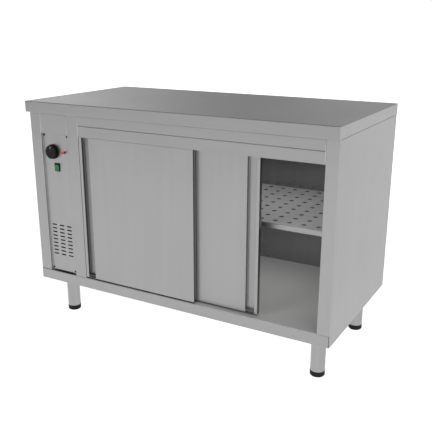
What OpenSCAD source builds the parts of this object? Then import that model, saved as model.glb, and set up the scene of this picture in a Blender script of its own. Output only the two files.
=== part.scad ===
// Plate warmer cabinet: an insulated stainless steel cupboard on four legs, with a
// flat worktop, two top-hung sliding doors, one perforated shelf, and a control bay
// at the left that holds the thermostat, the switch, the fan and the heater.
// Millimetres. +X runs along the front to the right, the front faces -Y, +Z is up.
// The origin is on the floor, under the middle of the worktop.

/* [Overall] */
// Length of the worktop
top_l = 1200; // [1000:10:1800]
// Depth of the worktop
top_d = 600; // [540:10:700]
// Height of the worktop's skirt
top_h = 40; // [32:1:60]
// Height of the body, from the base's underside to the worktop's underside
body_h = 650; // [620:5:700]
// How far the worktop stands out past the front
front_overhang = 8; // [4:1:14]
// How far the worktop stands out past the back
rear_overhang = 6; // [0:1:15]
// How far the worktop stands out past the left side
left_overhang = 13; // [0:1:15]
// How far the worktop stands out past the right side
right_overhang = 0; // [0:1:15]

/* [Sheet metal] */
// Thickness of the body's steel sheet
sheet = 1.2; // [0.8:0.1:1.5]
// Thickness of the worktop's steel sheet
top_sheet = 1.2; // [1:0.1:2]
// Thickness of the doors' and the track cover's steel sheet
door_sheet = 1; // [0.7:0.1:1.2]
// Inner radius of every bend
bend_r = 1; // [0.6:0.1:1.5]
// Width of the folded-in flanges
flange_w = 20; // [15:1:25]
// Width of the hem under the worktop's skirt
hem_w = 25; // [22:1:30]
// Radius of the worktop's edges
top_edge_r = 2; // [1:0.5:3]
// Thickness of the board glued under the worktop's sheet
board_t = 18; // [12:1:22]

/* [Front frame] */
// Width of the left post
left_post_w = 48; // [40:1:60]
// Width of the control bay between its posts
bay_w = 124.5; // [120:0.5:160]
// Width of the middle post
mid_post_w = 50; // [40:1:60]
// Width of the right post, and so of the insulated right wall
right_post_w = 43; // [35:1:55]
// Depth of the post returns beside the doors
post_depth = 40; // [38:1:45]
// Height of the header above the doors
header_h = 35; // [30:1:45]
// Height of the cover in front of the door track
cover_h = 39; // [38:1:45]
// Height of the base tray
tray_h = 40; // [35:1:45]
// Gap at each end of the tray's front lip
lip_end_gap = 2; // [0.5:0.1:3]
// Gap between the tray's front lip and the posts above it
lip_top_gap = 1.2; // [0.3:0.1:2]
// How far the header, the track cover and the doors lie behind the posts' faces
header_recess = 1; // [0.5:0.1:2]

/* [Legs] */
// Diameter of the leg tubes
leg_d = 50; // [42:1:55]
// Wall of the leg tubes
leg_wall = 1.5; // [1:0.1:2]
// Height of the leg tubes under the base
leg_h = 140; // [110:5:180]
// From the body's side to a leg's centre
leg_inset_x = 67; // [50:1:90]
// From the body's front or back to a leg's centre
leg_inset_y = 95; // [70:1:110]
// Side of the square plate on top of each leg
leg_plate_w = 80; // [76:1:95]
// Thickness of that plate
leg_plate_t = 3; // [2:0.5:4]
// Height of a foot
foot_h = 16; // [12:1:20]
// Bevel round a foot's lower edge
foot_bevel = 3; // [1:0.5:5]
// How far a foot screws out
foot_travel = 30; // [15:1:40]
// Diameter of a foot's threaded stem
foot_stem_d = 12; // [10:1:16]
// Depth of the plug in the end of a leg
insert_h = 25; // [20:1:35]

/* [Doors] */
// Thickness of a door
door_t = 17; // [15:1:18]
// How much the closed doors overlap
door_overlap = 28.5; // [22:0.5:45]
// Gap between a closed door and its post
door_side_gap = 1; // [0.5:0.1:3]
// Gap under the doors
door_foot_gap = 6; // [5:0.5:8]
// Gap between the doors' tops and the track cover's lower edge
door_top_gap = 0.7; // [0.5:0.1:3]
// Distance between the two doors' planes
lane_pitch = 20; // [19:0.5:21]
// How far the rear door stands open to the left at rest
rear_door_shift = 215; // [100:5:230]
// Width of the flange outside a grip channel
grip_flange = 12; // [10:0.5:20]
// Width of a grip channel
grip_w = 31.5; // [25:0.5:45]
// Depth of a grip channel
grip_depth = 12.5; // [9:0.5:12.5]

/* [Door track] */
// Radius of the rollers
roller_r = 11.5; // [10:0.5:11.5]
// Width of the rollers
roller_w = 6; // [5:0.5:6]
// Thickness of the track's top web
web_t = 2.5; // [2:0.1:3]
// Thickness of the track's lane walls and lips
lane_t = 2; // [1.5:0.1:2.5]
// From a door's edge to the roller's axle
hanger_inset = 32; // [28:1:60]
// Thickness of the hanger plates
hanger_t = 2.5; // [2:0.1:2.5]

/* [Chamber] */
// Distance between the back panel and the inner back panel
back_gap = 39; // [30:1:60]
// Thickness of the insulation above the chamber
top_insulation_t = 30; // [20:1:32]
// Height of the shelf above the tray
shelf_rise = 308; // [200:5:340]
// From the body's front to the shelf's front edge
shelf_setback = 84; // [70:1:120]
// Height of the shelf's folded front and back edges
shelf_lip = 19; // [15:1:25]
// Gap at each side of the shelf
shelf_side_gap = 2.5; // [1:0.5:5]
// Diameter of the shelf's holes
shelf_hole_d = 17; // [8:1:20]
// Distance between the shelf's holes
shelf_pitch = 50; // [40:1:70]
// Least distance from a row of holes to the shelf's edge
shelf_margin = 30; // [20:1:40]

/* [Control bay] */
// How far the control plate lies behind the posts' faces
plate_recess = 8; // [6:0.5:10]
// Gap under the control plate
plate_foot_gap = 5; // [2:0.5:10]
// Gap between the control plate and the bends of the posts beside it
plate_side_gap = 0.3; // [0.2:0.1:1]
// Width of the tabs that the control plate is screwed to
tab_w = 16; // [14:1:20]
// From a corner of the control plate to its screw, sideways
screw_inset_x = 8; // [7:0.5:9]
// From a corner of the control plate to its screw, up or down
screw_inset_z = 6.5; // [5:0.5:15]
// Diameter of the control plate's screws
screw_d = 4; // [3:0.5:4]
// Diameter of the knob
knob_d = 54; // [40:1:60]
// Depth of the knob
knob_h = 15; // [13:0.5:15]
// Knob's centre, left of the plate's middle
knob_left = 16; // [10:1:18]
// Knob's centre, below the plate's top
knob_drop = 66; // [50:1:75]
// Diameter of the thermostat's shaft
shaft_d = 6; // [5:0.5:6]
// Diameter of the pilot lamp's lens
lamp_d = 7; // [6:0.5:9]
// How far the pilot lamp's lens stands out of its ring
lamp_h = 13.5; // [6:0.5:13.5]
// Pilot lamp's centre, right of the plate's middle
lamp_right = 38; // [36:1:44]
// Pilot lamp's centre, below the plate's top
lamp_drop = 65; // [50:1:75]
// Width of the switch's frame
switch_w = 24; // [22:1:28]
// Height of the switch's frame
switch_h = 31; // [29:1:36]
// Switch's centre, below the plate's top
switch_drop = 123; // [115:1:140]
// Tilt of the rocker to either side
rocker_tilt = 10; // [6:1:12]
// Length of a vent slot
slot_l = 23; // [18:1:30]
// Width of a vent slot
slot_w = 5; // [3:0.5:7]
// Distance between the columns of vent slots
slot_pitch_x = 36.5; // [32:0.5:38]
// Distance between the rows of vent slots
slot_pitch_z = 14.6; // [12:0.2:20]
// Columns of vent slots
slot_columns = 3; // [1:1:3]
// Rows of vent slots
slot_rows = 9; // [4:1:9]
// Lowest row of vent slots, above the plate's foot
slot_rise = 66; // [40:1:120]

/* [Fan and heater] */
// Radius of the fan's wheel
fan_r = 70; // [55:1:75]
// Width of the fan's wheel
fan_w = 30; // [20:1:34]
// Blades of the fan's wheel
fan_blades = 14; // [8:1:20]
// Height of the fan's centre above the tray
fan_rise = 134; // [130:1:160]
// Fan's centre, behind the middle of the cabinet
fan_back = 20; // [0:1:40]
// Radius of the heater's ring
heater_r = 90; // [84:1:92]
// Diameter of the heater's tube
heater_d = 8; // [6:0.5:9]
// Depth of the air duct
duct_d = 60; // [54:1:66]
// Half the width of the air duct
duct_half_w = 110; // [102:1:115]
// Height of the air duct
duct_h = 500; // [440:5:520]
// Diameter of the cable gland's bore
gland_bore_d = 9; // [6:0.5:10]

/* [Hidden] */
$fn = 64;
bend_steps = 4;
seat_gap = 0.3;
run_fit = 0.05;
cut = 1;

// Body planes
x_left = -top_l / 2 + left_overhang;
x_right = top_l / 2 - right_overhang;
y_front = -top_d / 2 + front_overhang;
y_back = top_d / 2 - rear_overhang;
y_skin = y_back - sheet;
y_tray_back = y_skin - sheet;
z_base = foot_h + leg_h;
z_tray = z_base + tray_h;
z_body = z_base + body_h;
z_top = z_body + top_h;
z_header = z_body - header_h;
z_cover = z_header - cover_h;
y_head = y_front + header_recess;

board_gap = 1;

// Front frame
x_bay0 = x_left + left_post_w;
x_bay1 = x_bay0 + bay_w;
x_bay_mid = (x_bay0 + x_bay1) / 2;
x_open0 = x_bay1 + mid_post_w;
x_open1 = x_right - right_post_w;
y_plate = y_front + plate_recess;
y_tab = y_plate + sheet;
y_post_back = y_front + post_depth;

// Chamber lining
x_wall0 = x_open0 - sheet;
x_wall1 = x_open1 + sheet;
y_wall = y_skin - back_gap;
z_ceiling = z_header + sheet;
lining_lap = 30;

// Door track: each lane is centred on its door's thickness
lanes = [y_head + door_t / 2, y_head + door_t / 2 + lane_pitch];
z_web = z_header - door_sheet - web_t;
roller_top_gap = 1;
z_axle = z_web - roller_top_gap - roller_r;
groove_depth = 1.5;
groove_r = 1.8;
bead_r = groove_r - seat_gap;
roller_y = 3;
lane_gap = 1;
lane_wall_y = roller_y + roller_w / 2 + lane_gap;
z_bead = z_axle - roller_r + groove_depth - groove_r;
z_lip = z_bead - bead_r - 0.7;
y_track0 = y_head + door_sheet + bend_r;
y_track1 = lanes[1] + lane_wall_y + lane_t;

// Doors
door_w = (x_open1 - x_open0 - 2 * door_side_gap + door_overlap) / 2;
z_door0 = z_tray + door_foot_gap;
z_door1 = z_cover - door_top_gap;
liner_y = door_t - door_sheet;
x_front_door = x_open0 + door_side_gap;
x_rear_door = x_open1 - door_side_gap - rear_door_shift;
guide_slot = 5;
guide_fin_t = 3;
guide_fin_h = 7;
guide_l = 18;
grip_foot = 9;
axle_d = 5;
hanger_foot = 40;
hanger_w = 18;
hanger_y = -5;

// Shelf
z_shelf = z_tray + shelf_rise;
y_shelf0 = y_front + shelf_setback;
shelf_last_hole = x_open1 - 52;
shelf_rows = floor((y_wall - y_shelf0 - 2 * shelf_margin) / shelf_pitch) + 1;
shelf_columns = floor((shelf_last_hole - x_open0 - shelf_margin - shelf_side_gap) / shelf_pitch) + 1;
shelf_y_mid = (y_shelf0 + y_wall) / 2;
support_w = 20;
support_t = 1.5;

// Controls
screw_head_h = 2.4;
x_knob = x_bay_mid - knob_left;
z_knob = z_cover - knob_drop;
x_lamp = x_bay_mid + lamp_right;
z_lamp = z_cover - lamp_drop;
z_switch = z_cover - switch_drop;
z_plate0 = z_tray + plate_foot_gap;
bush_r = 5;
bush_l = 2.5;
knob_gap = 0.6;
knob_body_r = knob_d / 2 - 2;
knob_skirt_h = 3.5;
knob_bevel = 1.2;
flute_r = 2.4;
flute_depth = 1.8;
pointer_w = 1.6;
pointer_l = 10;
pointer_depth = 0.6;
knob_cap = 3;
shaft_root = 10;
thermostat_w = 44;
thermostat_h = 36;
thermostat_d = 30;
lamp_barrel_r = lamp_d / 2 + 0.5;
lamp_ring_r = lamp_d / 2 + 2;
lamp_nut_r = lamp_ring_r + 1;
bezel_t = 2;
switch_frame = 1.5;
rocker_r = switch_h / 2 - switch_frame - 0.4;
rocker_w = switch_w - 6;
rocker_pin_r = 1.5;
rocker_pin_l = 1.2;
switch_body_w = switch_w - 2.4;
switch_depth = 24;

// Fan and heater
x_duct1 = x_wall0 - sheet;
x_duct0 = x_duct1 - duct_d;
y_fan = fan_back;
z_fan = z_tray + fan_rise;
z_duct0 = z_fan - duct_half_w;
motor_r = 36;
motor_l = 46;
motor_plate_t = 2;
motor_plate_r = 45;
motor_bolt_r = 52;
motor_bolt_d = 4.4;
motor_shaft_r = 3;
bearing_r = 12;
bearing_h = 4;
groove_inset = 8;
wheel_gap = 8;
wheel_disc_t = 1.5;
hub_r = 9;
heater_gap = 20;
heater_tail = 14;
heater_pin = 10;
heater_pin_r = 2;
limit_r = 8;
limit_h = 10;
limit_drop = 80;
limit_pin_r = 1.2;
heater_setback = 34;
x_heater = x_duct1 - heater_setback;
return_pitch_y = 60;
return_pitch_z = 22;
return_drop = 50;
return_l = 48;
return_w = 8;

// Cable gland
gland_inset_x = 36;
gland_inset_y = 64;
x_gland = x_bay1 - gland_inset_x;
y_gland = y_back - gland_inset_y;
gland_body_r = gland_bore_d / 2 + 3.5;
gland_nut_r = gland_body_r + 4;
gland_nut_h = 4;
gland_l = 18;
gland_cap_r = gland_body_r + 2;
gland_cap_h = 12;
poles = 5;
pole_w = 12;
terminal_d = 26;
terminal_gap_x = 10;
terminal_gap_y = 60;
terminal_h = 20;
wire_z = 8;
wire_hole_r = 2.2;
well_r = 2.6;

leg_bolt_inset = 8;
leg_bolt_d = 6.4;
// Legs: left and right, front and rear
leg_x = [x_left + leg_inset_x, x_right - leg_inset_x];
leg_y = [y_front + leg_inset_y, y_back - leg_inset_y];

// Finishes
steel = [0.72, 0.72, 0.73];
galvanised = [0.62, 0.64, 0.66];
black_plastic = [0.08, 0.08, 0.08];
white_nylon = [0.88, 0.88, 0.85];
mineral_wool = [0.80, 0.74, 0.52];
chipboard = [0.70, 0.58, 0.42];

// A box given by its lowest and highest value on each axis
module block(x, y, z) {
    translate([x[0], y[0], z[0]]) cube([x[1] - x[0], y[1] - y[0], z[1] - z[0]]);
}

// Extrudes a profile drawn as (Y, Z) along X
module along_x(x0, x1) {
    translate([x0, 0, 0]) rotate([90, 0, 90]) linear_extrude(x1 - x0) children();
}

// Extrudes a profile drawn as (X, Z) along Y
module along_y(y0, y1) {
    translate([0, y1, 0]) rotate([90, 0, 0]) linear_extrude(y1 - y0) children();
}

// Stands a piece drawn with its axis on +Z so that the axis points to the front
module facing_front(x, y, z) {
    translate([x, y, z]) rotate([90, 0, 0]) children();
}

// Lays a piece drawn with its axis on +Z so that the axis points along +X
module facing_right(x, y, z) {
    translate([x, y, z]) rotate([0, 90, 0]) children();
}

// Outline of a folded sheet. Its outer skin follows the path, the metal lies on the
// left of the way along it, and every corner is a bend.
function heading(path, i) = (path[i + 1] - path[i]) / norm(path[i + 1] - path[i]);
function left_of(d) = [-d[1], d[0]];
function turned(v, a) = [v[0] * cos(a) - v[1] * sin(a), v[0] * sin(a) + v[1] * cos(a)];
function reversed(list) = [for (i = [len(list) - 1:-1:0]) list[i]];
function bend(path, i, t, off) =
    let (
        into = heading(path, i - 1),
        out = heading(path, i),
        side = sign(into[0] * out[1] - into[1] * out[0]),
        sweep = side * acos(into * out),
        skin_r = side > 0 ? bend_r + t : bend_r,
        centre = path[i] - into * skin_r * tan(abs(sweep) / 2) + left_of(into) * side * skin_r
    )
    [for (k = [0:bend_steps])
        centre - turned(left_of(into), sweep * k / bend_steps) * side * (skin_r - side * off)];
function face_line(path, t, off) = [
    for (i = [0:len(path) - 1])
        each i == 0 ? [path[0] + left_of(heading(path, 0)) * off]
            : i == len(path) - 1 ? [path[i] + left_of(heading(path, i - 1)) * off]
            : bend(path, i, t, off)
];
module folded(path, t = sheet) {
    polygon(concat(face_line(path, t, 0), reversed(face_line(path, t, t))));
}

// A rectangle about the origin with round corners
module rounded_rect(w, d, r) {
    polygon([for (c = [0:3]) for (k = [0:bend_steps])
        [(c == 0 || c == 3 ? 1 : -1) * (w / 2 - r), (c < 2 ? 1 : -1) * (d / 2 - r)]
            + r * [cos(90 * (c + k / bend_steps)), sin(90 * (c + k / bend_steps))]]);
}

// A block about the origin whose edges are all rounded
module softened_block(w, d, h, r) {
    intersection() {
        translate([0, 0, -h / 2]) linear_extrude(h) rounded_rect(w, d, r);
        along_x(-w / 2, w / 2) rounded_rect(d, h, r);
        along_y(-d / 2, d / 2) rounded_rect(w, h, r);
    }
}

// A slot lying along the first axis, with round ends
module slot(l, w) {
    square([l - w, w], center = true);
    for (side = [-1, 1]) translate([side * (l - w) / 2, 0]) circle(d = w);
}

// The field of vent slots, as (X, Z)
module vent_slots() {
    for (column = [0:slot_columns - 1], row = [0:slot_rows - 1])
        translate([x_bay_mid + (column - (slot_columns - 1) / 2) * slot_pitch_x,
                   z_plate0 + slot_rise + row * slot_pitch_z])
            slot(slot_l, slot_w);
}

// ---- Worktop ----

module worktop() color(steel) {
    difference() {
        translate([0, 0, z_top - top_h / 2]) softened_block(top_l, top_d, top_h, top_edge_r);
        block([-top_l / 2 + top_sheet, top_l / 2 - top_sheet],
              [-top_d / 2 + top_sheet, top_d / 2 - top_sheet],
              [z_body + top_sheet, z_top - top_sheet]);
        block([-top_l / 2 + hem_w, top_l / 2 - hem_w],
              [-top_d / 2 + hem_w, top_d / 2 - hem_w],
              [z_body - cut, z_top - top_sheet]);
    }
}

module worktop_board() color(chipboard)
    block([-top_l / 2 + top_sheet + board_gap, top_l / 2 - top_sheet - board_gap],
          [-top_d / 2 + top_sheet + board_gap, top_d / 2 - top_sheet - board_gap],
          [z_top - top_sheet - board_t, z_top - top_sheet]);

// ---- Casing ----

// One sheet: rear flange, left side, left post, and the tab behind the control plate.
// Under the post the sheet is cut back for the tray's lip.
module left_side_panel() color(steel)
    difference() {
        translate([0, 0, z_base]) linear_extrude(body_h) folded([
            [x_left + flange_w, y_skin], [x_left, y_skin], [x_left, y_front],
            [x_bay0, y_front], [x_bay0, y_tab], [x_bay0 + tab_w, y_tab]]);
        block([x_left + sheet, x_bay0 + tab_w + cut], [y_front - cut, y_tab + sheet + cut],
              [z_base - cut, z_tray + lip_top_gap]);
    }

// One sheet: return beside the doors, right post, right side and rear flange
module right_side_panel() color(steel)
    difference() {
        translate([0, 0, z_base]) linear_extrude(body_h) folded([
            [x_open1, y_post_back], [x_open1, y_front], [x_right, y_front],
            [x_right, y_skin], [x_right - flange_w, y_skin]]);
        block([x_open1 - cut, x_right - sheet], [y_front - cut, y_post_back + cut],
              [z_base - cut, z_tray + lip_top_gap]);
    }

module back_panel() color(steel)
    along_y(y_skin, y_back) difference() {
        translate([x_left, z_base]) square([x_right - x_left, body_h]);
        vent_slots();
    }

// A pan turned upside down: the floor, a lip at the front and the back, both with a
// flange under them, and a folded-down edge against each side panel
module base_tray() color(steel)
    difference() {
        union() {
            along_x(x_left + sheet + lip_end_gap, x_right - sheet - lip_end_gap) folded([
                [y_tray_back - flange_w, z_base], [y_tray_back, z_base], [y_tray_back, z_tray],
                [y_front, z_tray], [y_front, z_base], [y_front + flange_w, z_base]]);
            along_y(y_front + flange_w / 2, y_tray_back - flange_w / 2) folded([
                [x_right - sheet, z_base + flange_w / 2], [x_right - sheet, z_tray],
                [x_left + sheet, z_tray], [x_left + sheet, z_base + flange_w / 2]]);
        }
        translate([x_gland, y_gland, z_base]) cylinder(r = gland_body_r + run_fit, h = tray_h + cut);
    }

// The tab behind the control plate is notched where the pilot lamp's nut would touch it
module middle_post() color(steel)
    difference() {
        translate([0, 0, z_tray]) linear_extrude(z_body - z_tray) folded([
            [x_bay1 - tab_w, y_tab], [x_bay1, y_tab], [x_bay1, y_front],
            [x_open0, y_front], [x_open0, y_post_back]]);
        block([x_lamp - lamp_nut_r - seat_gap, x_lamp + lamp_nut_r + seat_gap],
              [y_tab - cut, y_tab + sheet + cut],
              [z_lamp - lamp_nut_r - seat_gap, z_lamp + lamp_nut_r + seat_gap]);
    }

module header_rail() color(steel)
    along_x(x_open0, x_open1) folded([
        [y_head + flange_w, z_body], [y_head, z_body], [y_head, z_header],
        [y_post_back, z_header]]);

module track_cover() color(steel)
    along_x(x_open0, x_open1)
        folded([[y_post_back, z_header], [y_head, z_header], [y_head, z_cover]], door_sheet);

module bay_header() color(steel)
    along_x(x_bay0, x_bay1) folded([
        [y_tab - bend_r, z_body], [y_head, z_body], [y_head, z_cover], [y_tab - bend_r, z_cover]]);

// ---- Control plate ----

plate_edge = bend_r + plate_side_gap;
plate_screws = [for (x = [x_bay0 + screw_inset_x, x_bay1 - screw_inset_x],
                     z = [z_plate0 + screw_inset_z, z_cover - screw_inset_z]) [x, z]];

module control_plate() color(steel)
    along_y(y_plate, y_tab) difference() {
        translate([x_bay0 + plate_edge, z_plate0])
            square([bay_w - 2 * plate_edge, z_cover - z_plate0]);
        vent_slots();
        for (p = plate_screws) translate(p) circle(d = screw_d + 2 * run_fit);
        translate([x_knob, z_knob]) circle(r = bush_r + run_fit);
        translate([x_lamp, z_lamp]) circle(r = lamp_barrel_r + run_fit);
        translate([x_bay_mid, z_switch])
            square([switch_body_w, switch_h - 2] + [1, 1] * 2 * run_fit, center = true);
    }

// Four pan-head screws that stop against the tabs
module control_plate_screws() color(galvanised)
    for (p = plate_screws) facing_front(p[0], y_tab, p[1]) {
        cylinder(d = screw_d, h = sheet);
        translate([0, 0, sheet]) difference() {
            intersection() {
                cylinder(d = 2 * screw_d, h = screw_head_h);
                translate([0, 0, -2 * screw_head_h]) sphere(r = 3 * screw_head_h);
            }
            for (a = [0, 90]) rotate(a) translate([-2.2, -0.4, screw_head_h - 1]) cube([4.4, 0.8, 2]);
        }
    }

// ---- Door track ----

// A web with two lanes. Each lane has a wall, a lip and a bead that the rollers run on.
module door_track() color(galvanised)
    along_x(x_open0, x_open1) {
        translate([y_track0, z_web]) square([y_track1 - y_track0, web_t]);
        for (lane = lanes) {
            translate([lane + lane_wall_y, z_lip]) square([lane_t, z_web - z_lip + cut / 2]);
            translate([lane + roller_y - 2, z_lip])
                square([lane_wall_y - roller_y + 2 + lane_t / 2, lane_t]);
            translate([lane + roller_y, z_bead]) circle(r = bead_r);
        }
    }

// A block at each end of each lane, where the rollers stop
module track_stops() color(black_plastic)
    for (lane = lanes, end = [0, 1]) {
        stop_l = hanger_inset + door_side_gap - roller_r - seat_gap;
        translate([end == 0 ? x_open0 : x_open1 - stop_l, lane, z_axle - roller_r / 2])
            cube([stop_l, lane_wall_y, z_web - z_axle + roller_r / 2]);
    }

// A foot on the tray with one fin in the slot of each door. It lies under the doors'
// overlap, where both doors are above it at every place they slide to.
module bottom_guide() color(black_plastic) {
    x_mid = (x_open0 + x_open1) / 2;
    block([x_mid - guide_l / 2, x_mid + guide_l / 2],
          [lanes[0] - guide_slot, lanes[1] + guide_slot], [z_tray, z_tray + door_foot_gap / 2]);
    for (lane = lanes)
        block([x_mid - guide_l / 2, x_mid + guide_l / 2],
              [lane - guide_fin_t / 2, lane + guide_fin_t / 2],
              [z_tray, z_tray + door_foot_gap + guide_fin_h]);
}

// ---- Chamber lining ----

module inner_back_panel() color(steel)
    block([x_wall0, x_wall1], [y_wall, y_wall + sheet], [z_tray, z_ceiling]);

module inner_right_panel() color(steel)
    block([x_wall1, x_wall1 + sheet], [y_post_back - lining_lap, y_wall + sheet],
          [z_tray, z_ceiling]);

// The fan's round grille and, above it, the slots that the warm air comes back through,
// as (Y, Z)
module grille() {
    ring_step = fan_r * 0.2;
    translate([y_fan, z_fan]) circle(d = ring_step / 2);
    for (ring = [1:4], i = [0:6 * ring - 1])
        translate([y_fan, z_fan]) rotate(60 * i / ring) translate([ring * ring_step, 0])
            circle(d = ring_step / 2);
    for (row = [0:6], column = [-1, 0, 1])
        translate([y_fan + column * return_pitch_y,
                   z_duct0 + duct_h - return_drop - row * return_pitch_z])
            slot(return_l, return_w);
}

module partition() color(steel)
    difference() {
        along_y(y_post_back - 18, y_skin) folded([
            [x_wall0 - flange_w, z_tray], [x_wall0, z_tray], [x_wall0, z_ceiling],
            [x_wall0 - flange_w, z_ceiling]]);
        along_x(x_wall0 - sheet - cut, x_wall0 + cut) grille();
    }

module chamber_ceiling() color(steel) {
    block([x_wall0 - flange_w, x_wall1 + sheet], [y_post_back, y_wall + sheet],
          [z_ceiling, z_ceiling + sheet]);
    block([x_open0, x_open1], [y_post_back - lining_lap, y_post_back], [z_ceiling, z_ceiling + sheet]);
}

module back_insulation() color(mineral_wool)
    block([x_wall0, x_wall1], [y_wall + sheet, y_skin], [z_tray, z_header]);

module right_insulation() color(mineral_wool)
    block([x_wall1 + sheet, x_right - sheet - bend_r], [y_post_back, y_tray_back],
          [z_tray, z_header]);

module top_insulation() color(mineral_wool)
    block([x_open0, x_open1], [y_post_back, y_wall],
          [z_ceiling + sheet, z_ceiling + sheet + top_insulation_t]);

// ---- Shelf ----

module shelf() color(steel) {
    x0 = x_wall0 + shelf_side_gap;
    x1 = x_wall1 - shelf_side_gap;
    difference() {
        along_x(x0, x1) folded([
            [y_wall - flange_w / 2, z_shelf - shelf_lip], [y_wall, z_shelf - shelf_lip],
            [y_wall, z_shelf], [y_shelf0, z_shelf],
            [y_shelf0, z_shelf - shelf_lip], [y_shelf0 + flange_w / 2, z_shelf - shelf_lip]]);
        translate([0, 0, z_shelf - shelf_lip / 2]) linear_extrude(shelf_lip) shelf_holes();
    }
}

module shelf_holes() {
    for (column = [0:shelf_columns - 1], row = [0:shelf_rows - 1])
        translate([shelf_last_hole - column * shelf_pitch,
                   shelf_y_mid + (row - (shelf_rows - 1) / 2) * shelf_pitch])
            circle(d = shelf_hole_d);
}

// An angle on each wall, under the shelf's sheet and between its folded edges
module shelf_supports() color(steel)
    for (side = [-1, 1]) {
        x_face = side < 0 ? x_wall0 : x_wall1;
        x_in = x_face - side * support_w;
        y = [y_shelf0 + flange_w, y_wall - flange_w];
        z = z_shelf - sheet - seat_gap;
        block([min(x_face, x_in), max(x_face, x_in)], y, [z - support_t, z]);
        block([min(x_face, x_face - side * support_t), max(x_face, x_face - side * support_t)],
              y, [z - support_w, z]);
    }

// ---- Doors ----

// Drawn with the grip at x = 0 and the front face at y = 0. A right-hand door is mirrored.
module place_door(x_grip, lane, side) {
    translate([x_grip, lane - door_t / 2, 0]) mirror([side > 0 ? 1 : 0, 0, 0]) children();
}

// The front pan. The grip channel is folded into it. It stops on a ledge short of the
// bottom, and under the ledge and behind the bottom flange a slot stays open for the guide.
module door_skin() color(steel) {
    grip_end = grip_flange + grip_w;
    difference() {
        translate([0, 0, z_door0]) linear_extrude(z_door1 - z_door0) folded([
            [0, liner_y], [0, 0], [grip_flange, 0], [grip_flange, grip_depth],
            [grip_end, grip_depth], [grip_end, 0], [door_w, 0], [door_w, liner_y]], door_sheet);
        block([grip_flange - 2 * door_sheet, grip_end + 2 * door_sheet],
              [bend_r + door_sheet, liner_y - cut / 2], [z_door0 - cut, z_door0 + grip_foot]);
    }
    block([grip_flange - door_sheet / 2, grip_end + door_sheet / 2], [0, grip_depth + door_sheet / 2],
          [z_door0 + grip_foot, z_door0 + grip_foot + door_sheet]);
    block([door_sheet, door_w - door_sheet], [0, (door_t - guide_slot) / 2],
          [z_door0, z_door0 + door_sheet]);
    block([door_sheet, door_w - door_sheet], [0, liner_y], [z_door1 - door_sheet, z_door1]);
}

module door_liner() color(steel) {
    block([0, door_w], [liner_y, door_t], [z_door0, z_door1]);
    block([2 * door_sheet, door_w - 2 * door_sheet], [(door_t + guide_slot) / 2, liner_y],
          [z_door0, z_door0 + door_sheet]);
}

// Two brackets screwed on the door's top, each with the axle of its roller
module door_hangers() color(galvanised)
    for (x = [hanger_inset, door_w - hanger_inset]) translate([x, door_t / 2, 0]) {
        block([-hanger_foot / 2, hanger_foot / 2], [hanger_y, -hanger_y], [z_door1, z_door1 + hanger_t]);
        along_y(hanger_y, hanger_y + hanger_t) {
            translate([-hanger_w / 2, z_door1]) square([hanger_w, z_axle - z_door1]);
            translate([0, z_axle]) circle(d = hanger_w);
        }
        facing_front(0, roller_y + roller_w / 2, z_axle)
            cylinder(d = axle_d, h = roller_w / 2 + roller_y - hanger_y);
        facing_front(0, roller_y - roller_w / 2 - seat_gap, z_axle)
            cylinder(d = 2 * axle_d - 1, h = roller_y - roller_w / 2 - seat_gap - hanger_y);
    }

// A grooved nylon wheel
module roller(x, lane) color(white_nylon)
    facing_front(x, lane + roller_y + roller_w / 2, z_axle) rotate_extrude() difference() {
        translate([axle_d / 2 + run_fit, 0]) square([roller_r - axle_d / 2 - run_fit, roller_w]);
        translate([roller_r - groove_depth + groove_r, roller_w / 2]) circle(r = groove_r);
    }

// ---- Controls ----

// A round knob with a skirt, finger flutes, a pointer groove and a recess over the bush
module knob() color(black_plastic)
    facing_front(x_knob, y_plate - knob_gap, z_knob) difference() {
        union() {
            cylinder(r = knob_d / 2, h = knob_skirt_h);
            difference() {
                union() {
                    cylinder(r = knob_body_r, h = knob_h - knob_bevel);
                    translate([0, 0, knob_h - knob_bevel])
                        cylinder(r1 = knob_body_r, r2 = knob_body_r - knob_bevel, h = knob_bevel);
                }
                for (a = [0:15:345]) rotate(a)
                    translate([knob_body_r + flute_r - flute_depth, 0, -cut])
                        cylinder(r = flute_r, h = knob_h + 2 * cut);
            }
        }
        translate([-pointer_w / 2, knob_body_r - pointer_l - 4, knob_h - pointer_depth])
            cube([pointer_w, pointer_l, cut]);
        translate([0, 0, -cut]) cylinder(r = bush_r + 2, h = bush_l + cut);
        cylinder(r = shaft_d / 2 + run_fit / 2, h = knob_h - knob_cap);
    }

module thermostat_shaft() color(galvanised)
    facing_front(x_knob, y_tab + shaft_root, z_knob)
        cylinder(d = shaft_d, h = sheet + shaft_root + knob_gap + knob_h - knob_cap - seat_gap);

module thermostat() color(galvanised)
    difference() {
        union() {
            block([x_knob - thermostat_w / 2, x_knob + thermostat_w / 2],
                  [y_tab, y_tab + thermostat_d],
                  [z_knob - thermostat_h / 2, z_knob + thermostat_h / 2]);
            facing_front(x_knob, y_tab, z_knob) cylinder(r = bush_r, h = sheet + bush_l - 0.5);
        }
        facing_front(x_knob, y_tab + shaft_root + seat_gap, z_knob)
            cylinder(r = shaft_d / 2 + run_fit, h = shaft_root + seat_gap + sheet + bush_l);
    }

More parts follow.
